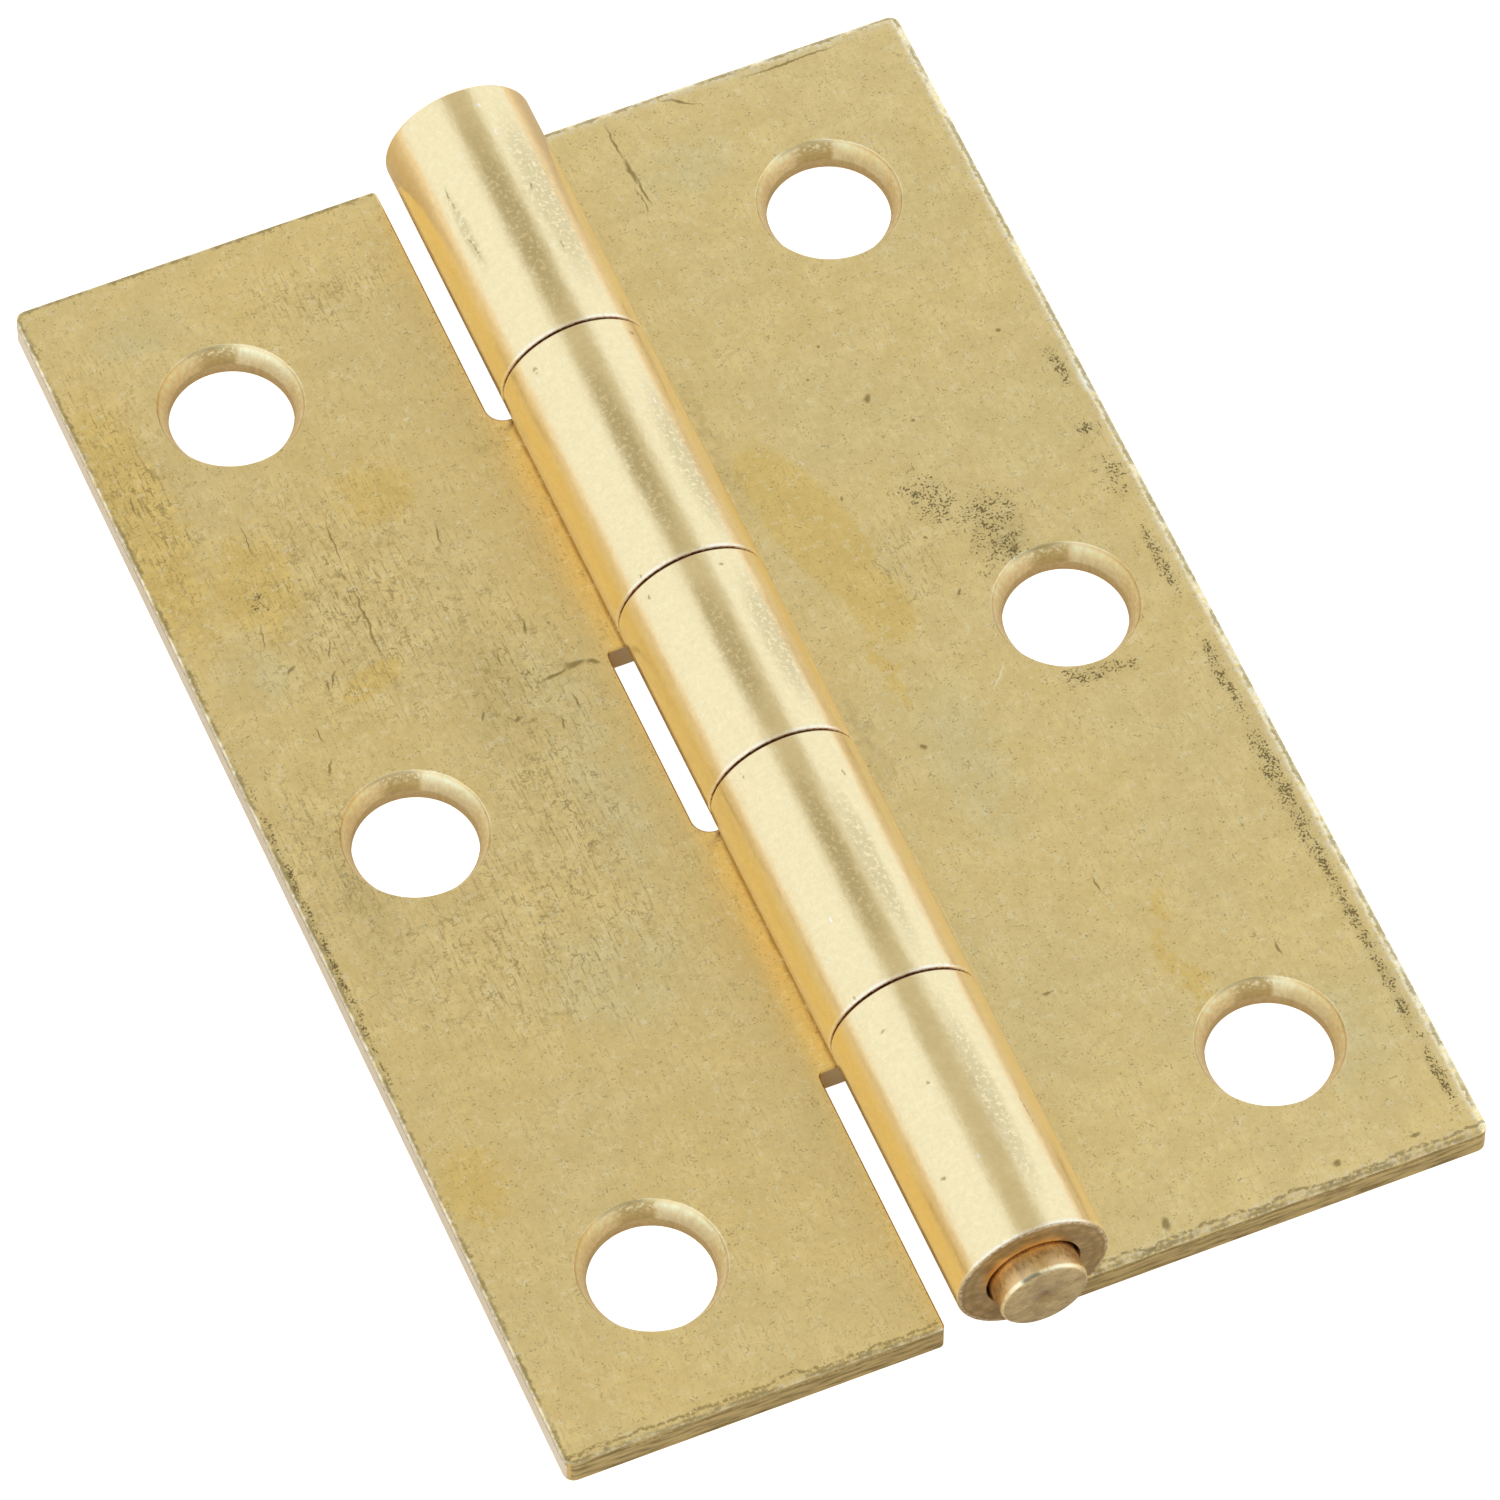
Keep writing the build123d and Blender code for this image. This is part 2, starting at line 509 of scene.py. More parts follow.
class Surface(Nodes):
    """A metal finish in the making, with the places that its marks are laid by, in millimetres."""

    def __init__(self, name):
        self.material = bpy.data.materials.new(name)
        self.material.use_nodes = True
        super().__init__(self.material.node_tree)
        self.shader = self.tree.nodes["Principled BSDF"]
        self.shader.inputs["Metallic"].default_value = 1
        self.colour = None
        coordinates = self.add("TexCoord").outputs
        place = self.vector("SCALE", coordinates["Object"], scale=1 / MM)
        self.x, self.y, self.z = self.add("SeparateXYZ", {"Vector": place}).outputs
        facing = self.add("SeparateXYZ", {"Vector": coordinates["Normal"]}).outputs
        self.face_x, self.face_y, self.face_z = facing
        above_axis = self.math("SUBTRACT", self.z, axis_height / MM)
        from_axis = self.add("CombineXYZ", {"X": self.x, "Y": above_axis}).outputs[0]
        self.radius = self.vector("LENGTH", from_axis)
        self.angle = self.times(self.math("ARCTAN2", self.x, above_axis), DEGREES)
        self.on_barrel = self.ramp(self.radius, 4.30, 4.20)
        self.side_on = self.ramp(self.math("ABSOLUTE", self.face_y), *facing_side)
        edge_on = self.math("ABSOLUTE", self.face_x)
        low = self.times(self.z, cut_stretch)
        flat = self.add("CombineXYZ", {"X": self.x, "Y": self.y}).outputs[0]
        end_on = self.add("CombineXYZ", {"X": self.x, "Y": low}).outputs[0]
        rolled = self.add("CombineXYZ", {"X": self.times(self.angle, barrel_skin), "Y": self.y}).outputs[0]
        along_edge = self.add("CombineXYZ", {"X": low, "Y": self.y}).outputs[0]
        skin = self.chosen(self.math("GREATER_THAN", edge_on, 0.8), flat, along_edge)
        skin = self.chosen(self.math("GREATER_THAN", self.on_barrel, 0.5), skin, rolled)
        skin = self.chosen(self.math("GREATER_THAN", self.side_on, 0.5), skin, end_on)
        wobble = self.vector("SUBTRACT", self.noise(skin, 0.9, 3.0, 0.6, "Color"), (0.5, 0.5, 0.5))
        loose = self.vector("ADD", skin, self.vector("SCALE", wobble, scale=2.4))
        tight = self.vector("ADD", skin, self.vector("SCALE", wobble, scale=0.45))
        # passed on as points, which take less of the renderer's room for one shader
        self.flat = self.moved(flat, 0, 0)
        self.end_on = self.moved(end_on, 0, 0)
        self.skin = self.moved(skin, 0, 0)
        self.loose = self.moved(loose, 0, 0)
        self.tight = self.moved(tight, 0, 0)
        self.top = self.times(self.ramp(self.face_z, 0.50, 0.80), self.less(self.on_barrel))

    def chosen(self, factor, a, b):
        """One of two places."""
        made = self.add("Mix", data_type="VECTOR")
        self.feed(made.inputs[0], factor)
        self.feed(made.inputs[4], a)
        self.feed(made.inputs[5], b)
        return made.outputs[1]

    def nearest(self, spots):
        """The distance to the nearest of some places on the flat."""
        nearest = 99.0
        for x, y in spots:
            away = self.vector("LENGTH", self.vector("SUBTRACT", self.flat, (x / MM, y / MM, 0)))
            nearest = self.math("MINIMUM", away, nearest)
        return nearest

    def lay(self, weight, over):
        """Lays a colour over what is there."""
        self.colour = self.toned(weight, self.colour, over)

    def shade(self, brightness):
        """Darkens or lightens what is there."""
        self.colour = self.tinted(self.colour, brightness)

    def finished(self, roughness, relief):
        """Joins up the shader. The relief is in millimetres."""
        self.feed(self.shader.inputs["Base Color"], self.colour)
        self.feed(self.shader.inputs["Roughness"], roughness)
        bump = self.add("Bump", {"Height": relief, "Strength": 1.0, "Distance": MM})
        self.join(bump.outputs["Normal"], self.shader.inputs["Normal"])
        return self.material


class SheetMetal(Surface):
    """Brass-plated sheet. Each of its layers goes over the ones before it."""

    def __init__(self, name, side, knuckles, wear):
        super().__init__(name)
        self.side = side
        self.knuckles = knuckles
        self.wear = wear
        self.outward = self.times(self.x, side)
        self.grain = self.noise(self.skin, 2.6, 3.0, 0.8)
        self.patches = self.noise(self.skin, 0.5, 3.0, 0.65)
        self.specks = self.noise(self.moved(self.skin, 7, 3), 3.4, 3.0, 0.7)

    def edge_gap(self):
        """The distance to the leaf's outer edge."""
        return self.math("SUBTRACT", leaf_width / MM, self.outward)

    def end_gap(self):
        """The distance to the nearer end of the leaf."""
        return self.math("SUBTRACT", half_length / MM, self.math("ABSOLUTE", self.y))

    def inside_ends(self):
        """1 away from the leaf's ends."""
        return self.ramp(self.end_gap(), 0.5, 1.0)

    def plating(self):
        """The plated metal, cloudy on the flat; on the barrel paler on top than on its sides, which are
        painted more orange as a painted reflection of the leaves, with painted shade on its +X side.
        """
        cloud = self.noise(self.skin, 0.12, 2.0, 0.5)
        dulled = self.ramp(cloud, 0.36, 0.64, 0.06, 0.42)
        self.colour = self.toned(dulled, self.wear["plated"], self.wear["dulled"])
        self.shade(self.ramp(self.math("ABSOLUTE", self.y), 24, 37, 1.0, 1.04))
        # The barrel's sides are painted more orange, a painted reflection of the leaves
        painted_side_reflection = self.ramp(self.away(self.angle, -3), 48, 70)
        barrel = self.toned(painted_side_reflection, barrel_plated, barrel_side_painted_reflection)
        # Painted shade on the barrel's +X side
        barrel = self.tinted(barrel, self.ramp(self.angle, 38, 58, 1.0, 0.94))
        self.lay(self.on_barrel, barrel)

    def stains(self):
        """Stains and tarnish on the flat, a painted orange reflection of the barrel where the necks turn up,
        and painted shade along the seam.
        """
        strength = 0.62
        crisp = self.marks(self.tight, self.wear["crisp_stains"], core=0.72)
        self.lay(self.times(crisp, self.top, strength), stained)
        soft = self.marks(self.loose, self.wear["stains"], core=0.35)
        soft = self.ramp(self.math("ADD", soft, self.sway(self.patches, 0.5)), 0.05, 1.0)
        self.lay(self.times(soft, self.top, strength), stained)
        grey = self.marks(self.loose, self.wear["grey"], core=0.3)
        self.lay(self.times(grey, self.top, self.ramp(self.patches, 0.30, 0.60, 0.2, 0.6)), greyed)
        # Painted orange reflection of the barrel on the flat where the necks turn up
        necks = [(self.side * 3.2, (low + high) / 2 / MM, 4.2, (high - low) / 1.75 / MM)
                 for low, high in self.knuckles]
        neck = self.marks(self.flat, necks, core=0.25)
        self.lay(self.times(neck, self.top, self.wear["neck_reflection_share"]), painted_neck_reflection)
        # Painted shade along the seam where the barrel meets the leaf
        painted_seam_shade = self.ramp(self.math("ADD", self.outward, self.sway(self.patches, 0.3)), 3.95, 3.70)
        self.lay(self.times(painted_seam_shade, self.top, self.wear["seam"]), seam_painted_shade)

    def mottling(self, heavy):
        """The grain's light and dark, stronger where the sheet is heavily lined."""
        mottled = self.math("ADD", self.ramp(self.grain, 0.2, 0.8, -0.13, 0.13),
                            self.ramp(self.patches, 0.2, 0.8, -0.06, 0.06))
        share = self.between(self.on_barrel, self.between(heavy, *self.wear["grain"]), 0.34)
        self.shade(self.math("ADD", 1.0, self.times(mottled, share)))

    def hairlines(self, heavy):
        """Fields of short scratches and curly lines."""
        floor = self.ramp(self.patches, 0.38, 0.62, *self.wear["line_floor"])
        amount = self.math("ADD", self.times(heavy, 0.58), floor)
        broken = self.ramp(self.specks, 0.36, 0.56)
        strokes = self.math("MAXIMUM", self.strokes(self.skin, 9, 7.0, 0.55, 0.595, 0.70),
                            self.strokes(self.skin, 22, 6.6, 0.62, 0.605, 0.71))
        dark = self.math("MAXIMUM", self.times(strokes, broken, 0.9),
                         self.curls(self.skin, 1.35, 0.055, 0.52, 0.60))
        self.lay(self.times(dark, amount, self.between(self.on_barrel, 1.0, 0.3)), line_dark)
        light = self.curls(self.moved(self.skin, 50, 80), 1.6, 0.05, 0.55, 0.62)
        self.lay(self.times(light, self.between(self.on_barrel, 0.38, 0.15)), pale_fleck)

    def single_marks(self):
        """The marks that have a place of their own, on the flat and on the barrel."""
        for kind, over, strength in (("scratches", line_dark, 0.85), ("light", pale_fleck, 0.8)):
            drawn = self.marks(self.tight, self.wear[kind], core=0.3)
            self.lay(self.times(drawn, self.top, strength), over)
        for kind, over, strength in (("barrel_dusty", line_dark, 0.36), ("barrel_dark", line_dark, 0.8),
                                     ("barrel_light", burr_and_painted_highlight, 0.8)):
            spots = [(angle * barrel_skin, *rest) for angle, *rest in self.wear[kind]]
            drawn = self.times(self.marks(self.tight, spots, core=0.3), self.on_barrel)
            self.lay(self.times(drawn, self.ramp(self.specks, 0.35, 0.5), strength), over)

    def dirt(self):
        """A thin haze, and fine black grit in clusters."""
        haze = self.marks(self.loose, self.wear["haze"])
        haze = self.times(haze, self.ramp(self.patches, 0.30, 0.60, 0.35, 1.0))
        self.lay(self.times(haze, self.top, 0.30), line_dark)
        gritty = self.marks(self.loose, self.wear["grit"])
        along_edge = self.times(self.marks(self.tight, self.wear["grit_lines"], core=0.3), 0.85)
        gritty = self.math("MAXIMUM", gritty, along_edge)
        dust = self.noise(self.moved(self.skin, 13, 29), 7.5, 1.5, 0.5)
        clusters = self.noise(self.moved(self.skin, 3, 59), 1.7, 3.0, 0.6)
        uneven = self.math("ADD", dust, self.times(clusters, 0.75))
        pepper = self.ramp(self.math("ADD", self.times(gritty, 0.22), uneven), 1.05, 1.18)
        self.lay(self.times(gritty, self.top, 0.16), line_dark)
        self.lay(self.times(pepper, self.top, self.ramp(gritty, 0.0, 0.4, 0.4, 0.8)), grit_dark)

    def rims_and_edges(self, from_hole):
        """Bright rims round the holes and bright worn strips along the leaf's edges, both partly wear and
        partly painted highlight, and dark lines along the edges.
        """
        # Partly a worn rim, partly a painted highlight
        rim = self.times(self.line(from_hole, 3.86, 0.13, 0.03), self.ramp(self.patches, 0.40, 0.55))
        self.lay(self.times(rim, self.top, 0.7), worn_rim_and_painted_highlight)
        from_edge = self.math("MINIMUM", self.edge_gap(), self.end_gap())
        from_edge = self.math("ADD", from_edge, self.sway(self.grain, 0.5))
        # Partly worn metal, partly a painted highlight along the rolled edge
        worn = self.times(self.ramp(from_edge, *self.wear["edge_strip"]), self.ramp(self.specks, 0.42, 0.56))
        self.lay(self.times(worn, self.top, 0.45), burr_and_painted_highlight)
        dark = self.times(self.line(from_edge, self.wear["edge_line"], 0.20, 0.04),
                          self.ramp(self.patches, 0.36, 0.56))
        self.lay(self.times(dark, self.top, 0.75), line_dark)
        from_near_end = self.math("ADD", self.y, half_length / MM)
        from_near_end = self.math("ADD", from_near_end, self.sway(self.patches, 0.9))
        dragged = self.times(self.line(from_near_end, 0.45, 0.16, 0.03), self.ramp(self.specks, 0.38, 0.52))
        self.lay(self.times(dragged, self.top, 0.75), line_dark)

    def hole_walls(self, in_hole):
        """Painted light and shade on the countersinks' walls: a painted highlight, painted shade and a
        painted warm reflection that go round with the way they face, painted glints, and painted shade
        towards the bottom.
        """
        turned = self.math("ARCTAN2", self.times(self.face_x, -1.0), self.times(self.face_y, -1.0))
        clock = self.times(turned, DEGREES)
        # Painted highlight, warm reflection and shade, by the way the wall faces
        wall = self.toned(self.ramp(clock, 22, 32), hole_wall_painted_light, hole_painted_highlight)
        wall = self.toned(self.ramp(clock, 72, 92), wall, hole_painted_warm_reflection)
        wall = self.toned(self.times(self.ramp(clock, -14, 2), self.ramp(clock, 29, 23)), wall, hole_painted_shade)
        # Painted glints on the upper wall
        painted_glint = self.times(self.ramp(self.specks, 0.50, 0.60), self.ramp(self.z, 0.9, 1.5), 0.7)
        wall = self.toned(painted_glint, wall, hole_painted_glint)
        # Painted shade, darker towards the bottom of the wall
        wall = self.toned(self.ramp(self.z, 0.72, 0.58), wall, hole_bottom_painted_shade)
        wall = self.tinted(wall, self.math("ADD", self.ramp(self.z, 0.6, 1.6, 0.84, 0.98),
                                           self.ramp(self.specks, 0.3, 0.7, 0.0, 0.15)))
        self.lay(in_hole, wall)

    def knuckle_rims(self):
        """A bright lip at each knuckle's near rim, partly burr and partly painted highlight, and a line of
        painted shade in the joint at its far rim.
        """
        # The lip is partly burr, partly a painted highlight on the rounded rim
        lip = 0.0
        for low, high in self.knuckles:
            above = self.math("SUBTRACT", self.y, low / MM)
            lip = self.math("MAXIMUM", self.line(above, 0.06, 0.20, 0.06), lip)
        lip = self.times(lip, self.on_barrel, self.less(self.side_on))
        self.lay(self.times(lip, self.ramp(self.specks, 0.30, 0.55), 0.55), burr_and_painted_highlight)
        # Painted shade in the joint at each knuckle's far rim
        joint = 0.0
        for low, high in self.knuckles:
            under = self.math("SUBTRACT", high / MM, self.y)
            drawn = self.times(self.ramp(under, 0.15, 0.05), self.ramp(under, -0.2, 0.0))
            joint = self.math("MAXIMUM", drawn, joint)
        joint = self.times(joint, self.on_barrel, self.inside_ends(),
                           self.ramp(self.specks, 0.28, 0.50, 0.4, 1.0))
        self.lay(self.times(joint, 0.75), seam_painted_shade)

    def cut_faces(self, cut, cut_side, in_hole):
        """The sheared faces of the blank, brown between the knuckles and with a painted highlight in the
        slots.
        """
        torn = self.noise(self.stretched(self.skin, 0.5, 2.4), 1.0, 3.0, 0.6)
        metal = self.tinted(sheared, self.ramp(torn, 0.30, 0.66, 0.70, 1.22))
        metal = self.toned(self.ramp(torn, 0.40, 0.33, 0.0, 0.7), metal, line_dark)
        metal = self.toned(self.times(self.on_barrel, self.inside_ends()), metal, between_knuckles)
        outside = self.times(self.ramp(self.edge_gap(), 0.4, 0.1), cut_side)
        metal = self.toned(outside, metal, self.wear["outside"])
        torn_line = self.line(self.math("ADD", self.z, self.times(self.patches, 0.5)), 1.62, 0.16, 0.03)
        metal = self.toned(self.times(torn_line, self.ramp(self.specks, 0.40, 0.52), 0.7), metal, line_dark)
        # Painted highlight on the cut faces in the slots
        beside_slot = self.times(self.ramp(self.outward, 6.2, 5.6), self.less(self.on_barrel),
                                 self.inside_ends())
        metal = self.toned(beside_slot, metal, slot_wall_painted_highlight)
        self.lay(self.times(cut, 0.95, self.less(in_hole)), metal)

    def barrel_ends(self):
        """The ends of the rolled sheet: a dull ring with a groove, a line of painted shade inside its rim, a
        worn rim that is partly painted highlight, and a painted orange reflection beside the pin.
        """
        end = self.times(self.side_on, self.on_barrel)
        wavering = self.math("ADD", self.radius, self.sway(self.patches, 0.5))
        groove = self.line(wavering, 3.35, 0.28, 0.0)
        # Painted shade in a line just inside the ring's rounded rim
        rim_painted_shade_line = self.line(wavering, 3.82, 0.12, 0.0)
        tone = self.tinted(end_face, self.ramp(self.noise(self.end_on, 0.9, 3.0, 0.6), 0.3, 0.7, 0.75, 1.2))
        outermost = self.less(self.times(self.on_barrel, self.inside_ends()))
        self.lay(self.times(end, outermost), tone)
        self.lay(self.times(end, self.math("MAXIMUM", groove, rim_painted_shade_line), 0.5), line_dark)
        # Painted orange reflection on the ring beside the pin
        painted_reflection_beside_pin = self.times(self.ramp(self.radius, 3.1, 2.6), self.ramp(self.away(self.angle, -25), 75, 30))
        self.lay(self.times(end, painted_reflection_beside_pin, 0.75), painted_end_reflection)
        # Worn outer rim, partly a painted highlight on the rounded edge
        worn = self.times(self.ramp(wavering, 3.88, 4.02), self.ramp(self.specks, 0.38, 0.56))
        self.lay(self.times(end, worn, 0.7), burr_and_painted_highlight)


def sheet_metal(name, side, knuckles, holes, wear):
    """A leaf's finish, with its grain, stains, hairlines, dirt and worn rims, and painted light and shade on
    its barrel, necks, seams, holes, slots and rims.
    """
    s = SheetMetal(name, side, knuckles, wear)
    s.plating()
    s.stains()
    heavy = s.marks(s.loose, wear["lined"])
    s.mottling(heavy)
    s.hairlines(heavy)
    s.single_marks()
    s.dirt()
    from_hole = s.nearest(holes)
    s.rims_and_edges(from_hole)
    in_hole = s.times(s.ramp(from_hole, 3.88, 3.76), s.less(s.ramp(s.face_z, 0.80, 0.95)),
                      s.ramp(s.math("ABSOLUTE", s.face_z), 0.9, 0.8))
    s.hole_walls(in_hole)
    s.knuckle_rims()
    cut_side = s.times(s.ramp(s.math("ABSOLUTE", s.face_x), *facing_side), s.ramp(s.z, 1.72, 1.66),
                       s.less(s.on_barrel), s.less(in_hole))
    cut = s.math("MAXIMUM", s.side_on, cut_side)
    s.cut_faces(cut, cut_side, in_hole)
    s.barrel_ends()
    rough = s.math("ADD", s.between(s.on_barrel, 0.30, 0.21), s.ramp(s.patches, 0.3, 0.7, -0.04, 0.05))
    rough = s.math("ADD", rough, s.math("ADD", s.times(cut, 0.2), s.times(in_hole, 0.12)))
    ripple = s.noise(s.stretched(s.skin, 0.75, 0.30), 1.0, 3.0, 0.55)
    ripple = s.times(ripple, s.between(s.on_barrel, 0.012, 0.020))
    return s.finished(rough, s.math("ADD", ripple, s.times(s.grain, 0.0045)))


def pin_metal(name):
    """The pin's own finish: drawn brass tone along it, darker and scuffed on its end, with a painted
    highlight and a painted dark reflection on its chamfers and painted shade at its base.
    """
    s = Surface(name)
    grain = s.noise(s.skin, 3.0, 3.0, 0.7)
    patches = s.noise(s.skin, 0.6, 3.0, 0.6)
    smudge = s.noise(s.end_on, 1.0, 3.0, 0.6)
    s.colour = s.toned(s.ramp(patches, 0.35, 0.65, 0.0, 0.6), pin_side, pin_side_dark)
    on_end = s.times(s.side_on, s.ramp(s.radius, 2.32, 2.28))
    end = s.toned(s.ramp(smudge, 0.35, 0.65), pin_end, pin_end_dark)
    middle = s.ramp(s.math("ADD", s.radius, s.sway(smudge, 1.6)), 0.9, 0.1)
    end = s.toned(s.times(middle, 0.6), end, pin_centre)
    s.lay(on_end, end)
    # Painted highlight on the chamfers
    chamfer = s.times(s.ramp(s.radius, 2.42, 2.36), s.less(on_end))
    s.lay(s.times(chamfer, 0.9), pin_chamfer_painted_highlight)
    # Painted dark reflection near the top of the chamfers
    painted_dark_reflection = s.marks(s.end_on, [(-0.75, 6.25 * cut_stretch, 0.75, 0.7, 15)], core=0.5)
    s.lay(s.times(painted_dark_reflection, chamfer, 0.9), pin_chamfer_painted_dark_reflection)
    # Painted shade at the pin's base, where it comes out of the ring
    base = s.ramp(s.math("SUBTRACT", s.y, -half_length / MM), -0.10, -0.01)
    s.lay(s.times(base, s.less(on_end), 0.35), seam_painted_shade)
    s.shade(s.math("ADD", 0.86, s.ramp(grain, 0.2, 0.8, 0.0, 0.28)))
    rough = s.ramp(grain, 0.3, 0.7, 0.26, 0.40)
    return s.finished(rough, s.times(s.math("ADD", grain, smudge), 0.006))


# Marks are x, y, half width, half length and turn, in millimetres and degrees. On the barrel x is the
# angle from the top towards +X instead.
three_knuckle_marks = {
    "plated": (0.85, 0.637, 0.294),
    "dulled": (0.775, 0.61, 0.318),
    "grain": (0.42, 0.75),
    "crisp_stains": [(8.2, 9.2, 2.35, 6.9, 11), (9.5, 3.6, 1.8, 3.3, 8), (7.3, 12.4, 1.7, 3.2, 15)],
    "stains": [(8.2, -0.5, 0.7, 3.5), (15.5, -19, 0.8, 1.6),
               (15.2, -24.5, 0.8, 2.8), (14.5, -22, 1.0, 2.4)],
    "grey": [(11.5, 33, 4, 3), (20, -30, 4, 5), (10, -8, 3, 7)],
    "neck_reflection_share": 0.20,
    # seam: how strong the painted shade along the seam is
    "seam": 0.3,
    "lined": [(12, 5, 3, 5)],
    "line_floor": (0.02, 0.20),
    "scratches": [(8.2, 36.0, 0.08, 1.7), (8.25, 34.0, 0.20, 1.2), (8.4, 32.6, 0.12, 1.4),
                  (8.1, 32.0, 0.06, 1.2), (12.4, 37.2, 0.1, 1.5, 60), (19, 37.35, 3.6, 0.1, 1),
                  (13.0, 19.7, 0.16, 0.16),
                  (14.1, 15.7, 0.25, 0.4, -30), (22.2, 17, 0.18, 0.15), (15.7, 13.4, 0.15, 0.15),
                  (10.3, 10.3, 0.14, 0.2), (13.4, 6.3, 0.14, 0.14), (13.65, 2.5, 0.13, 0.35, -30),
                  (8.1, -5.6, 0.26, 0.3), (17.5, 4.0, 0.22, 0.22), (11.7, 18, 0.12, 0.12),
                  (7.95, -36.8, 0.28, 0.5), (17.4, -36.85, 0.3, 0.3), (21.8, -36.85, 0.4, 0.2),
                  (7.9, -21.85, 0.4, 0.14), (20.0, -24, 0.1, 0.7), (12.95, -16.8, 0.08, 0.8)],
    "light": [(13.5, -3.1, 0.06, 1.3, -40), (20.6, 2.5, 0.16, 0.3, -20), (9.2, 13.2, 0.1, 0.25, 20),
              (25.05, 12.4, 0.4, 1.2)],
    "haze": [(5.5, 13.6, 0.9, 4.6), (5.5, 18, 0.6, 3.5), (5.6, -4, 0.7, 6), (17.2, 4.6, 2.6, 2.0)],
    "grit_lines": [(24.15, -14.5, 0.75, 5.5), (24.2, -19, 0.6, 5), (24.3, -24, 0.5, 4),
                   (24.35, -29, 0.45, 5), (24.4, -34, 0.45, 3.5), (24.15, -7.5, 0.5, 4),
                   (24.1, 0.5, 0.5, 3.5), (24.2, 13.6, 0.45, 1.8)],
    "grit": [(24.1, 9.4, 0.8, 1.4), (24.0, 6.2, 1.0, 2.2), (16.8, 4.2, 2.9, 2.0, -10),
             (17, 6.4, 2.8, 2.6, 20), (14.6, 8.4, 2.0, 3.0, 20), (18.2, -4.8, 3.4, 0.8, 3)],
    "edge_strip": (0.85, 0.30),
    "edge_line": 0.15,
    "outside": (0.80, 0.70, 0.52),
    "barrel_dark": [(-41, 32.3, 0.10, 1.0, 6), (-41, 29, 0.07, 1.2, 4), (19, 31, 0.07, 0.4),
                    (20, 26.8, 0.08, 0.5), (-41, 5.1, 0.12, 0.22), (17, 5, 0.2, 0.1),
                    (-33, -24, 0.22, 0.12), (-42, -33, 0.2, 0.15), (40, -31, 0.08, 1.6),
                    (-20, -28, 0.15, 0.15)],
    "barrel_dusty": [(-4, 29, 1.1, 9), (-6, 0, 0.9, 6), (15, -30, 0.9, 8), (-41, 30, 0.5, 3.5),
                     (27, 30, 1.4, 8), (30, 0, 1.2, 6)],
    "barrel_light": [(11, 36.7, 0.14, 0.2), (13, 34.8, 0.12, 0.25), (-12, -33, 0.1, 0.25)],
}
two_knuckle_marks = {
    "plated": (0.84, 0.618, 0.276),
    "dulled": (0.775, 0.60, 0.305),
    "grain": (0.40, 1.05),
    "crisp_stains": [(-16.6, 9.3, 2.2, 1.0, 20)],
    "stains": [(-24.2, 23, 3.4, 13, 0), (-20, 17, 3.4, 5), (-23.5, -21, 2.4, 3.6),
               (-12, 20, 3, 3)],
    "grey": [(-22, 12, 2.8, 3.6), (-8, 0, 2.6, 12), (-19, 27, 1.2, 3), (-20, 34.5, 3.5, 2.2),
             (-12, -12, 6, 5)],
    "neck_reflection_share": 0.34,
    # seam: how strong the painted shade along the seam is
    "seam": 0.65,
    "lined": [(-16, 14, 9, 12), (-22.5, 0, 4, 8), (-9.5, 6, 4.5, 12), (-10, 33, 6, 3), (-23.5, 24, 3.5, 13),
              (-15, -8, 12, 9), (-10.5, -2, 5, 9)],
    "line_floor": (0.03, 0.26),
    "scratches": [(-15.5, 12.7, 0.09, 3.4, -3), (-15.25, 18, 0.06, 2.2, -4), (-20.3, 11.5, 0.14, 0.5, -50),
                  (-18.5, 10.1, 0.09, 0.7, -36), (-18.9, 9.9, 0.07, 0.5, -20), (-8.1, 9.3, 0.1, 0.6, -8),
                  (-12.2, 5.0, 0.1, 0.5, -38), (-10.6, 4.1, 0.16, 0.35, -50), (-8.5, 3.0, 0.09, 0.6, -14),
                  (-7.3, 4.0, 0.08, 0.7, 4), (-10.0, 16.4, 0.08, 0.9, -6), (-20.9, 14, 0.07, 0.9, -12),
                  (-24.1, 24.2, 0.08, 0.9, -4), (-19.4, 20, 0.06, 1.3, -2), (-20.4, 7.2, 0.07, 0.7, 8),
                  (-10.1, 8.0, 0.08, 0.6, -4), (-20.7, 5.1, 0.09, 0.6, -30), (-17.9, 12, 0.06, 0.9, -20),
                  (-6.5, 6.15, 0.8, 0.27, -3), (-7.7, 5.95, 1.1, 0.14, 8), (-5.6, 5.9, 0.5, 0.2, -32)],
    "light": [(-11.5, 11.3, 0.12, 0.16), (-6.4, 7.7, 0.12, 0.16), (-8.8, 23.8, 0.3, 0.12),
              (-18.8, 3.3, 0.35, 0.12, 10), (-15.9, 2.8, 0.3, 0.12)],
    "haze": [(-6.0, 20.6, 1.2, 0.7), (-11, 6, 3, 8), (-22, -3, 2, 6)],
    "grit_lines": [(-25.0, -4, 0.3, 14)],
    "grit": [(-20.2, 16, 0.8, 1.0)],
    "edge_strip": (0.30, 0.08),
    "edge_line": 0.12,
    "outside": (0.97, 0.90, 0.80),
    "barrel_dark": [(-41, 20.5, 0.2, 0.3), (43, 20.8, 0.25, 0.15), (-41, 6.4, 0.12, 0.2),
                    (-41, -7, 0.15, 0.25), (30, -9, 0.12, 0.3), (-41, -21.5, 0.12, 0.2)],
    "barrel_dusty": [(-6, 13, 0.9, 9), (-4, -14, 0.8, 8), (17, -15, 0.8, 7), (32, 12, 1.2, 7)],
    "barrel_light": [(30, 16, 0.08, 0.3), (-30, -17, 0.08, 0.25)],
}

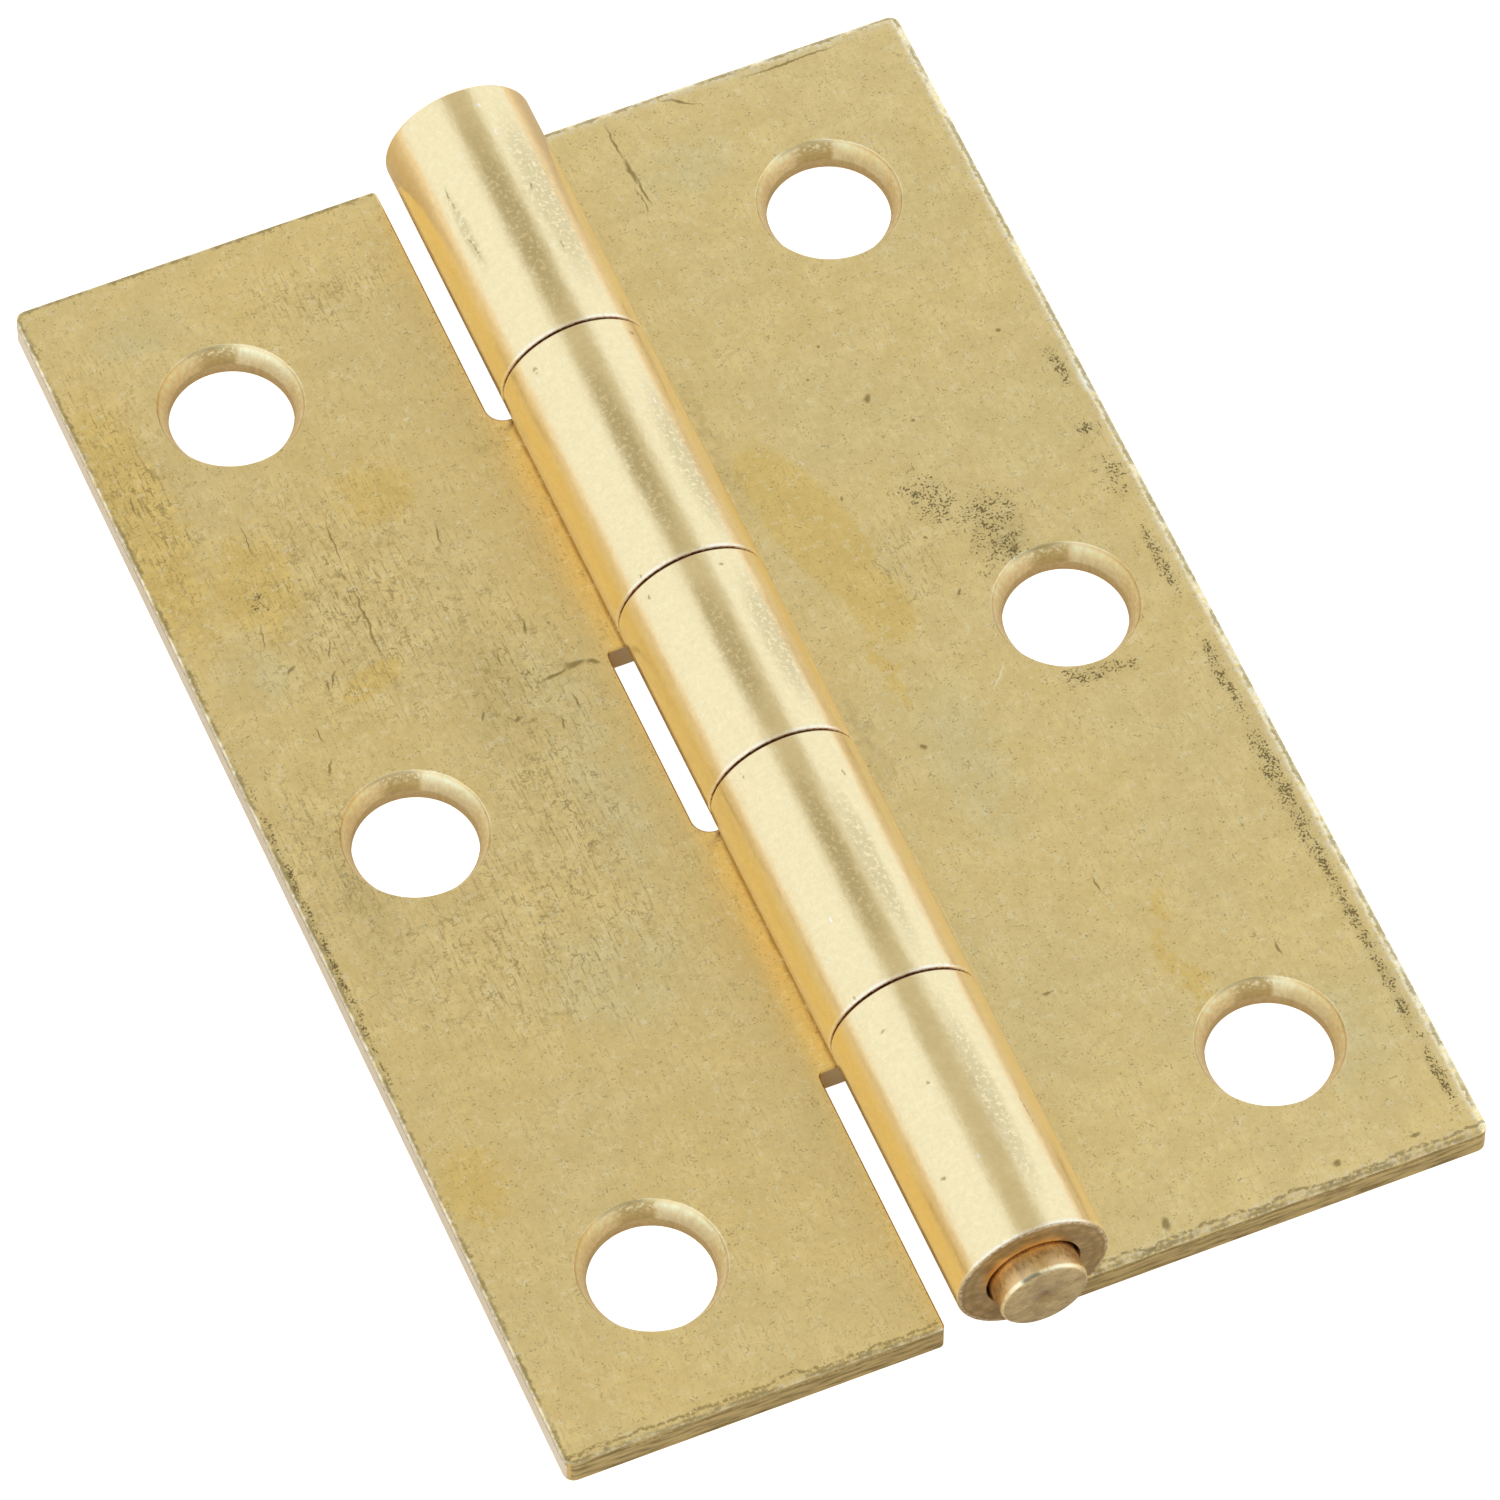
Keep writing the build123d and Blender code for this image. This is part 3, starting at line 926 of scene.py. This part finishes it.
three_knuckle_leaf.data.materials.append(
    sheet_metal("plated_sheet_three_knuckles", 1, three_knuckles, three_knuckle_holes,
                three_knuckle_marks))
two_knuckle_leaf.data.materials.append(
    sheet_metal("plated_sheet_two_knuckles", -1, two_knuckles, two_knuckle_holes, two_knuckle_marks))
pin.data.materials.append(pin_metal("plated_pin"))

for piece, node, body, slot in (
    (three_knuckle_leaf, "three_knuckle_leaf", "fixed_leaf", "leaf_metal"),
    (two_knuckle_leaf, "two_knuckle_leaf", "swing_leaf", "leaf_metal"),
    (pin, "hinge_pin", "fixed_leaf", "pin_metal"),
):
    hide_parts(node)
    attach(piece, body)



# Table, light and camera

table_size = 6
table_drop = 0.02 * MM  # below the leaves' backs
table_paint = (0.66, 0.52, 0.36)
table_white = 0.92  # as the camera sees it
table_glow = (0.05, 0.45)  # in reflections, near the hinge and far from it
table_glow_reach = (0.03, 0.09)

# The light's dim parts, as angles in degrees
dim_lean = 10  # from overhead towards +X
dim_inner = 12
dim_outer = 30
camera_side = 10  # from the near end towards +X
camera_side_inner = 26
camera_side_outer = 38
camera_side_heights = (0.65, 0.3)
camera_side_strength = 0.45
ceiling_colour = (0.70, 0.715, 0.63)
wall_colour = (1.11, 1.28, 1.50)

# The photograph's view
camera_azimuth = -23.4154
camera_elevation = 56.9236
camera_roll = 0.4715
camera_distance = 691.3 * MM
camera_target = Vector((0.1903, -1.2851, 0)) * MM


def white_table():
    """A white table. Its light is dimmer in the reflections close to the hinge than far from it."""
    clear_selection()
    bpy.ops.mesh.primitive_plane_add(size=table_size, location=(0, 0, -table_drop))
    table = bpy.context.object
    table.name = "table"
    bpy.ops.object.transform_apply(location=True, rotation=True, scale=True)
    material = bpy.data.materials.new("table_white")
    material.use_nodes = True
    n = Nodes(material.node_tree)
    n.tree.nodes.clear()
    path = n.add("LightPath").outputs
    plain = n.math("MAXIMUM", path["Is Camera Ray"], path["Is Transmission Ray"])
    distance = n.vector("LENGTH", n.add("TexCoord").outputs["Object"])
    reflected = n.times(path["Is Glossy Ray"], n.ramp(distance, *table_glow_reach, *table_glow))
    paint = n.add("BsdfDiffuse", {"Color": (*table_paint, 1)})
    glow = n.add("Emission", {"Strength": n.between(plain, reflected, table_white)})
    both = n.add("AddShader")
    n.join(paint.outputs[0], both.inputs[0])
    n.join(glow.outputs[0], both.inputs[1])
    n.join(both.outputs[0], n.add("OutputMaterial").inputs["Surface"])
    table.data.materials.append(material)


def photo_camera():
    """The photograph's view: a long lens looking down at the hinge from its near left."""
    azimuth, elevation, roll = (math.radians(a) for a in (camera_azimuth, camera_elevation, camera_roll))
    back = Vector((math.sin(azimuth) * math.cos(elevation),
                   -math.cos(azimuth) * math.cos(elevation), math.sin(elevation)))
    level = Vector((math.cos(azimuth), math.sin(azimuth), 0))
    upward = back.cross(level)
    right = math.cos(roll) * level + math.sin(roll) * upward
    up = -math.sin(roll) * level + math.cos(roll) * upward
    data = bpy.data.cameras.new("camera")
    data.sensor_width = 36
    data.lens = 319.76
    data.clip_start = 0.05
    data.clip_end = 20
    camera = bpy.data.objects.new("camera", data)
    bpy.context.scene.collection.objects.link(camera)
    place = Matrix((right, up, back)).transposed().to_4x4()
    place.translation = camera_target + camera_distance * back
    camera.matrix_world = place
    bpy.context.scene.camera = camera


def studio():
    """A white studio, a little dimmer in a strip overhead along the hinge and low on the camera's side."""
    world = bpy.context.scene.world or bpy.data.worlds.new("studio")
    bpy.context.scene.world = world
    world.use_nodes = True
    n = Nodes(world.node_tree)
    n.tree.nodes.clear()
    out = n.add("OutputWorld")
    path = n.add("LightPath").outputs
    toward = n.add("SeparateXYZ", {"Vector": n.add("TexCoord").outputs["Generated"]}).outputs
    lean = n.math("ARCTAN2", toward["X"], toward["Z"])
    off_centre = n.away(lean, math.radians(dim_lean))
    aside = n.ramp(off_centre, math.radians(dim_inner), math.radians(dim_outer))
    light = n.toned(aside, ceiling_colour, wall_colour)
    around = n.math("ARCTAN2", toward["X"], n.times(toward["Y"], -1.0))
    near_side = n.line(around, math.radians(camera_side), math.radians(camera_side_outer),
                       math.radians(camera_side_inner))
    near_side = n.times(near_side, n.ramp(toward["Z"], *camera_side_heights))
    strength = n.between(near_side, 1.0, camera_side_strength)
    seen = n.math("MAXIMUM", path["Is Camera Ray"], path["Is Transmission Ray"])
    colour = n.toned(seen, light, (1.0, 1.0, 1.0))
    sky = n.add("Background", {"Color": colour, "Strength": n.between(seen, strength, 1.0)})
    n.join(sky.outputs[0], out.inputs["Surface"])


white_table()
studio()
photo_camera()
bpy.context.scene.view_settings.view_transform = "Standard"
